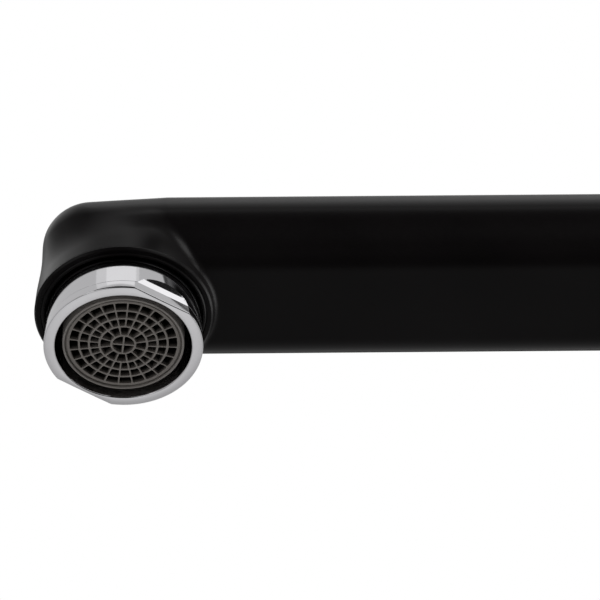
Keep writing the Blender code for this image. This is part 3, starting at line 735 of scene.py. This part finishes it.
def make_housing():
    """Collar and threaded neck; the collar's lower side has two wrench flats under leaning chamfers."""
    columns = 720
    around = np.linspace(0, 2 * math.pi, columns, endpoint=False)
    foot = flat_radius(around, FLATS_AWAY, COLLAR_R)
    low = flat_radius(around, FLATS_AWAY, side_radius(FLATS_HIGH))
    lean = flat_radius(around, LEAN_AWAY, side_radius(LEAN_HIGH))
    turn = (around - FLATS_TURN + math.pi / 2) % math.pi - math.pi / 2
    full = np.full(columns, 1.0)
    rows = []

    def row(radius, height):
        radius, height = radius * full, height * full
        rows.append(np.stack([radius * np.cos(around), radius * np.sin(around) - REACH, height], 1))

    quarter = [math.pi / 2 * i / 8 for i in range(9)]
    row(THREAD_R - 0.3 * MM, HOUSING_HIGH.z)
    row(THREAD_R, HOUSING_HIGH.z - 0.3 * MM)
    row(THREAD_R, RIM_Z + 0.6 * MM)
    top = side_radius(RIM_Z + 0.6 * MM - FACE_Z)
    for a in quarter:
        row(top - 0.25 * MM * (1 - math.sin(a)), RIM_Z + 0.6 * MM - 0.25 * MM * (1 - math.cos(a)))
    # Where the leaning chamfer runs out past the collar's side, it ends lower
    share = (side_radius(LEAN_HIGH) * np.cos(turn) - FLATS_AWAY) / (LEAN_AWAY - FLATS_AWAY)
    brow = FLATS_HIGH + (LEAN_HIGH - FLATS_HIGH) * np.clip(share, 0.05, 1)
    cut = (side_radius(LEAN_HIGH) - lean) / (side_radius(LEAN_HIGH) - LEAN_AWAY)
    ledge = brow + 0.02 * MM + (LEDGE_HIGH - LEAN_HIGH) * np.clip(cut, 0, 1)
    row(side_radius(ledge), FACE_Z + ledge)
    row(lean, FACE_Z + brow)
    row(low, FACE_Z + FLATS_HIGH)
    edge = 0.2 * MM
    rise = FACE_RISE * (foot - OPENING_R) / (COLLAR_R - OPENING_R)
    for a in quarter:
        row(foot - edge * (1 - math.cos(a)), FACE_Z + rise + edge * (1 - math.sin(a)))
    inner = 0.2 * MM
    for a in quarter:
        row(OPENING_R + inner * (1 - math.sin(a)), FACE_Z + inner * (1 - math.cos(a)))
    row(OPENING_R, HOUSING_HIGH.z)
    mesh = rows_mesh("aerator_collar", rows)
    piece = dress_piece(bpy.data.objects.new("aerator_collar", mesh), "chrome_plate", "swivelling_spout",
                        ["aerator_housing"])
    piece.data.set_sharp_from_angle(angle=COLLAR_SHARP)
    weigh_normals(piece)


GRID_R = 9.26 * MM
GRID_TURN = math.radians(6.25)
GRID_RINGS = [1.95 * MM, 3.9 * MM, 5.6 * MM, 7.23 * MM, 8.94 * MM]
RING_WALL = 0.165 * MM              # half a ring's thickness
RIB_HALF = 0.115 * MM
DOME = 0.32 * MM                   # how far the grid's middle bulges
SPIDER_HEART = 0.2 * MM            # the hub's openings start this far from its middle


def make_insert():
    """Plastic sleeve with a flange at its top and a fine groove with a sloped floor at its mouth."""
    outside, inside, flange, hole = 9.93 * MM, 9.57 * MM, 11.6 * MM, GRID_R + 0.03 * MM
    flange_low = INSERT_HIGH.z - 1.1 * MM
    corners = [(flange, INSERT_HIGH.z, 0.1 * MM), (flange, flange_low, 0.1 * MM), (outside, flange_low, 0),
               (outside, SLEEVE_Z, 0.12 * MM), (inside, SLEEVE_Z, 0.12 * MM),
               (inside, SLEEVE_Z + 0.55 * MM, 0), (hole, SLEEVE_Z + 0.3 * MM, 0), (hole, INSERT_HIGH.z, 0)]
    lathe("aerator_sleeve", corners, "grey_plastic", "swivelling_spout", ["aerator_insert"], (0, -REACH))


def cell_outline(inner, outer, start, end, rounding=0.12 * MM, steps=6):
    """One opening of the grid, between two radii and two angles, with rounded corners."""
    def place(radius, angle):
        return radius * math.cos(angle), radius * math.sin(angle)

    outline = []
    for radius, first, last in ((outer, start, end), (inner, end, start)):
        side = 1 if last > first else -1
        cut = rounding / radius * side
        drawn_in = radius + (rounding if radius == inner else -rounding)
        outline.append(place(drawn_in, first))
        run = last - first - 2 * cut
        outline += [place(radius, first + cut + run * i / steps) for i in range(steps + 1)]
        outline.append(place(drawn_in, last))
    return outline


def add_outline(curve, outline):
    spline = curve.splines.new("POLY")
    spline.points.add(len(outline) - 1)
    for point, (x, y) in zip(spline.points, outline):
        point.co = (x, y, 0, 1)
    spline.use_cyclic_u = True


def curve_mesh(name, outlines, thickness, bevel, bevel_steps=2):
    """A flat plate with holes, from closed outlines, with its edges rounded."""
    curve = bpy.data.curves.new(name, "CURVE")
    curve.dimensions = "2D"
    curve.fill_mode = "BOTH"
    curve.extrude = thickness / 2 - bevel
    curve.bevel_depth = bevel
    curve.bevel_resolution = bevel_steps
    curve.offset = -bevel
    for outline in outlines:
        add_outline(curve, outline)
    guide = bpy.data.objects.new(name, curve)
    bpy.context.scene.collection.objects.link(guide)
    bpy.context.view_layer.update()
    mesh = bpy.data.meshes.new_from_object(guide.evaluated_get(bpy.context.evaluated_depsgraph_get()))
    bpy.data.objects.remove(guide)
    mesh.name = name
    return mesh


def make_grid():
    """Rings of cells round a hub ring, and a plain four-armed spider in the hub."""
    around = np.linspace(0, 2 * math.pi, 144, False)
    outlines = [[(GRID_R * math.cos(a), GRID_R * math.sin(a)) for a in around]]
    for row, (inner, outer) in enumerate(zip(GRID_RINGS, GRID_RINGS[1:])):
        cells = 12 if row == 0 else 24
        step = 2 * math.pi / cells
        for i in range(cells):
            start = GRID_TURN + math.pi / 12 + i * step
            middle = (inner + outer) / 2
            margin = RIB_HALF / middle
            outlines.append(cell_outline(inner + RING_WALL, outer - RING_WALL, start + margin,
                                         start + step - margin, steps=4 if row else 8))
    hub = GRID_RINGS[0] - RING_WALL
    for i in range(4):
        start = GRID_TURN + i * math.pi / 2
        middle = start + math.pi / 4
        outline = [(SPIDER_HEART * math.cos(middle), SPIDER_HEART * math.sin(middle))]
        outline += [(hub * math.cos(start + a), hub * math.sin(start + a))
                    for a in np.linspace(0.08, math.pi / 2 - 0.08, 9)]
        outlines.append(outline)
    deep = 3.4 * MM
    mesh = curve_mesh("aerator_grid", outlines, deep, 0.06 * MM)
    tidy_mesh(mesh, 50)
    for vertex in mesh.vertices:
        share = min(1, math.hypot(vertex.co.x, vertex.co.y) / GRID_RINGS[-1])
        bulge = DOME * (1 - share ** 2) if vertex.co.z < 0 else 0
        vertex.co = (vertex.co.x, vertex.co.y - REACH, GRID_Z + deep / 2 + vertex.co.z - bulge)
    # The grid wears the plastic with painted shade, which darkens its openings inwards
    piece = dress_piece(bpy.data.objects.new("aerator_grid", mesh), "grey_plastic", "swivelling_spout",
                        ["outlet_grid"], GRID_PAINTED_SHADE_PLASTIC)
    piece.data.set_sharp_from_angle(angle=math.radians(50))
    weigh_normals(piece)


# ---------------------------------------------------------------- body and cover

def make_body():
    """Column, neck and cartridge cup, with the bores of its underside."""
    neck = 20.5 * MM
    spigot = 19.7 * MM
    shoulder = SPOUT_Z - BARREL_HALF - 1.5 * MM
    foot_z = RING_LOW.z
    corners = [(18 * MM, CUP_SEAT, 0), (18 * MM, BODY_HIGH.z, 0.3 * MM), (neck, BODY_HIGH.z, 0.3 * MM),
               (neck, shoulder, 0.2 * MM), (BODY_R, shoulder, 0.6 * MM), (BODY_R, foot_z, 0.2 * MM),
               (spigot, foot_z, 0.2 * MM), (spigot, 0, 0.5 * MM), (0.0, 0, 0), (0.0, CUP_SEAT, 0)]
    piece = lathe("body_column", corners, "black_lacquer", "base", ["faucet_body"], columns=192)
    bores = [(4.5 * MM, (x, 3 * MM, -MM), (x, 3 * MM, CUP_SEAT + MM)) for x in (-9.5 * MM, 9.5 * MM)]
    bores.append((4.3 * MM, (0, STUD_Y, -MM), (0, STUD_Y, STUD_HIGH.z + 2 * MM)))
    cut_bores(piece, bores)


def make_foot():
    trim = [(BODY_R + 0.3 * MM, RING_HIGH.z, 0.15 * MM), (27 * MM, RING_HIGH.z, 1.4 * MM),
            (RING_HIGH.x, 4.5 * MM, 1.6 * MM), (RING_HIGH.x, RING_LOW.z, 0.3 * MM),
            (BODY_R + 0.3 * MM, RING_LOW.z, 0.15 * MM)]
    lathe("foot_trim", trim, "black_lacquer", "base", ["base_ring"], columns=192, steps=6)
    inside = 20 * MM
    seal = [(inside, GASKET_HIGH.z, 0.3 * MM), (GASKET_HIGH.x, GASKET_HIGH.z, 0.7 * MM),
            (GASKET_HIGH.x, 0, 0.5 * MM), (inside, 0, 0.3 * MM)]
    lathe("foot_seal", seal, "rubber", "base", ["base_gasket"], columns=144)


def make_slide_rings():
    for node in ("slide_ring_lower", "slide_ring_upper"):
        low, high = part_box(node)
        inside = 20.8 * MM
        corners = [(inside, high.z, 0.1 * MM), (high.x, high.z, 0.2 * MM), (high.x, low.z, 0.2 * MM),
                   (inside, low.z, 0.1 * MM)]
        lathe(node + "_fine", corners, "white_plastic", "base", [node])


def dome_arc(radius, start, end, steps):
    angles = [math.radians(start + (end - start) * i / steps) for i in range(steps + 1)]
    return [(radius * math.sin(a), TILT_Z + radius * math.cos(a), 0) for a in angles]


def make_cover():
    inside = 23.4 * MM
    opening = 14.4 * MM
    steps = 14
    corners = dome_arc(BODY_R, math.degrees(math.asin(opening / BODY_R)), 90, steps)
    corners += [(BODY_R, COVER_LOW.z, 0.5 * MM), (20.8 * MM, COVER_LOW.z, 0.3 * MM),
                (20.8 * MM, COVER_LOW.z + 9 * MM, 0.3 * MM), (inside, COVER_LOW.z + 11.6 * MM, 0.3 * MM)]
    corners += dome_arc(inside, 90, math.degrees(math.asin(opening / inside)), steps)
    lathe("cover_dome", corners, "black_lacquer", "base", ["dome_cover"], columns=192)


# ---------------------------------------------------------------- lever

HUB_R = LEVER_HIGH.x
HUB_TOP = LEVER_HIGH.z
BAR_HALF = 6.5 * MM
BAR_RISE = 3 * MM
BAR_DROP = 6.5 * MM                # hub's top down to the bar's middle, at the axis
BAR_TILT = math.radians(5)
SCREW_Z = (PLUG_LOW.z + PLUG_HIGH.z) / 2


def lever_field(x, y, z):
    around = np.hypot(x, y)
    hub = rounded_pair(around - HUB_R, z - HUB_TOP, 2.5 * MM)
    rise = z - (HUB_TOP - BAR_DROP)
    along = -y * math.cos(BAR_TILT) + rise * math.sin(BAR_TILT)
    above = rise * math.cos(BAR_TILT) + y * math.sin(BAR_TILT)
    tip = 112 * MM - BAR_HALF
    plan = np.hypot(x, np.maximum(along - tip, 0)) - BAR_HALF
    bar = rounded_pair(plan, np.abs(above) - BAR_RISE, 2.6 * MM)
    bar = np.maximum(bar, 10 * MM - along)
    solid = smooth_union(hub, bar, 2.5 * MM)
    dome = BODY_R + 0.4 * MM - np.sqrt(x * x + y * y + (z - TILT_Z) ** 2)
    solid = -smooth_union(-solid, -dome, 0.3 * MM)
    socket = np.maximum(np.maximum(np.abs(x), np.abs(y)) - 3.8 * MM, z - (TILT_Z + 32 * MM))
    solid = cut_away(solid, socket, 0.1 * MM)
    side = np.hypot(x, z - SCREW_Z)
    hole = np.maximum(side - 2.5 * MM, 2 * MM - y)
    recess = np.maximum(side - 3.6 * MM, 18 * MM - y)
    return cut_away(solid, np.minimum(hole, recess), 0.15 * MM)


def make_lever():
    xs = steps_along(-HUB_R - 0.8 * MM, (HUB_R + 0.8 * MM, 0.35 * MM))
    ys = steps_along(LEVER_LOW.y - 0.8 * MM, (-HUB_R - MM, 0.55 * MM), (HUB_R + 0.8 * MM, 0.35 * MM))
    zs = steps_along(LEVER_LOW.z - 0.8 * MM, (HUB_TOP + 3 * MM, 0.35 * MM))
    net_piece("lever_handle", lever_field, (xs, ys, zs), "black_lacquer", "tilting_lever", ["lever"])


def make_plug():
    """The two-tone button over the lever's screw, gently domed."""
    columns = 48
    around = np.linspace(0, 2 * math.pi, columns, endpoint=False)
    radius = PLUG_HIGH.x
    profile = filleted([(0.0, PLUG_LOW.y, 0), (radius, PLUG_LOW.y, 0.1 * MM),
                        (radius, PLUG_HIGH.y - 0.4 * MM, 0.25 * MM), (0.0, PLUG_HIGH.y, 0)])
    rows = [np.stack([r * np.cos(around), np.full(columns, y), SCREW_Z + r * np.sin(around)], 1)
            for r, y in profile]
    piece = dress_piece(bpy.data.objects.new("index_button", rows_mesh("index_button", rows)), "index_mark",
                        "tilting_lever", ["index_plug"])
    weigh_normals(piece)


# ---------------------------------------------------------------- clamp under the worktop

def make_stud():
    """M8 stud: a helical thread of 1.25 mm pitch."""
    pitch, deep, columns, fine = 1.25 * MM, 0.6 * MM, 36, 8
    outside = STUD_HIGH.x
    around = np.linspace(0, 2 * math.pi, columns, endpoint=False)
    count = round((STUD_HIGH.z - STUD_LOW.z) / pitch * fine)
    rows = [np.stack([0 * around, STUD_Y + 0 * around, STUD_LOW.z + 0 * around], 1)]
    for i in range(count + 1):
        height = STUD_LOW.z + (STUD_HIGH.z - STUD_LOW.z) * i / count
        wave = (height / pitch - around / (2 * math.pi)) % 1
        crest = np.clip(1.35 * np.abs(2 * wave - 1) - 0.15, 0, 1)
        end = min(height - STUD_LOW.z, STUD_HIGH.z - height)
        radius = np.minimum(outside - deep * (1 - crest), outside - 0.8 * MM + end)
        rows.append(np.stack([radius * np.cos(around), STUD_Y + radius * np.sin(around),
                              np.full(columns, height)], 1))
    rows.append(np.stack([0 * around, STUD_Y + 0 * around, STUD_HIGH.z + 0 * around], 1))
    mesh = rows_mesh("threaded_stud", rows)
    piece = dress_piece(bpy.data.objects.new("threaded_stud", mesh), "steel", "base", ["mounting_stud"])
    piece.data.set_sharp_from_angle(angle=math.radians(60))


def make_nut():
    """Hexagon nut with both faces chamfered."""
    flat = (NUT_HIGH.y - NUT_LOW.y) / 2
    middle_z = (NUT_LOW.z + NUT_HIGH.z) / 2
    half = (NUT_HIGH.z - NUT_LOW.z) / 2
    corner = NUT_HIGH.x

    def field(x, y, z):
        y, z = y - STUD_Y, z - middle_z
        sides = [np.abs(x * math.sin(a) + y * math.cos(a)) for a in (0, math.pi / 3, -math.pi / 3)]
        widest = np.maximum(np.maximum(sides[0], sides[1]), sides[2])
        body = rounded_pair(widest - flat, np.abs(z) - half, 0.1 * MM)
        around = np.hypot(x, y)
        cone = (around - corner + (np.abs(z) - half) * 1.7 + 0.9 * MM) * 0.5
        return cut_away(np.maximum(body, cone), around - 4.05 * MM, 0.2 * MM)

    grid = [steps_along(low - 0.4 * MM, (high + 0.4 * MM, 0.16 * MM)) for low, high in zip(NUT_LOW, NUT_HIGH)]
    net_piece("hexagon_nut", field, grid, "brass", "base", ["clamp_nut"])


def make_clamps():
    """Horseshoe gasket and plate, with the slot that the hoses pass through."""
    outside, slot, corner = 26 * MM, 15 * MM, 6 * MM
    start = math.asin(slot / outside)
    rim = [(outside * math.sin(a), -outside * math.cos(a))
           for a in np.linspace(start, 2 * math.pi - start, 121)]
    left = [(corner - slot + corner * math.cos(a), 2 * MM + corner * math.sin(a))
            for a in np.linspace(math.pi, math.pi / 2, 13)]
    right = [(-x, y) for x, y in reversed(left)]
    stud_r = 4.4 * MM
    hole = [(stud_r * math.cos(a), STUD_Y + stud_r * math.sin(a))
            for a in np.linspace(0, 2 * math.pi, 48, False)]
    for node, name, slot_name, bevel in (("clamp_gasket", "horseshoe_gasket", "rubber", 0.35 * MM),
                                         ("clamp_plate", "horseshoe_plate", "steel", 0.25 * MM)):
        low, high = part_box(node)
        mesh = curve_mesh(name, [rim + left + right, hole], high.z - low.z, bevel)
        for vertex in mesh.vertices:
            vertex.co.z += (low.z + high.z) / 2
        tidy_mesh(mesh, 50)
        piece = dress_piece(bpy.data.objects.new(name, mesh), slot_name, "base", [node])
        piece.data.set_sharp_from_angle(angle=math.radians(50))
        weigh_normals(piece)


dress_frame_nodes()
place_camera()
make_stage()
make_spout()
make_lip()
make_housing()
make_insert()
make_grid()
make_body()
make_foot()
make_slide_rings()
make_cover()
make_lever()
make_plug()
make_stud()
make_nut()
make_clamps()

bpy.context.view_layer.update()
for lamp, only in LAMPS:
    if only:
        light_only(lamp, [each for each in bpy.data.objects if each.type == "MESH" and each.data.materials
                          and each.data.materials[0] == LACQUER])
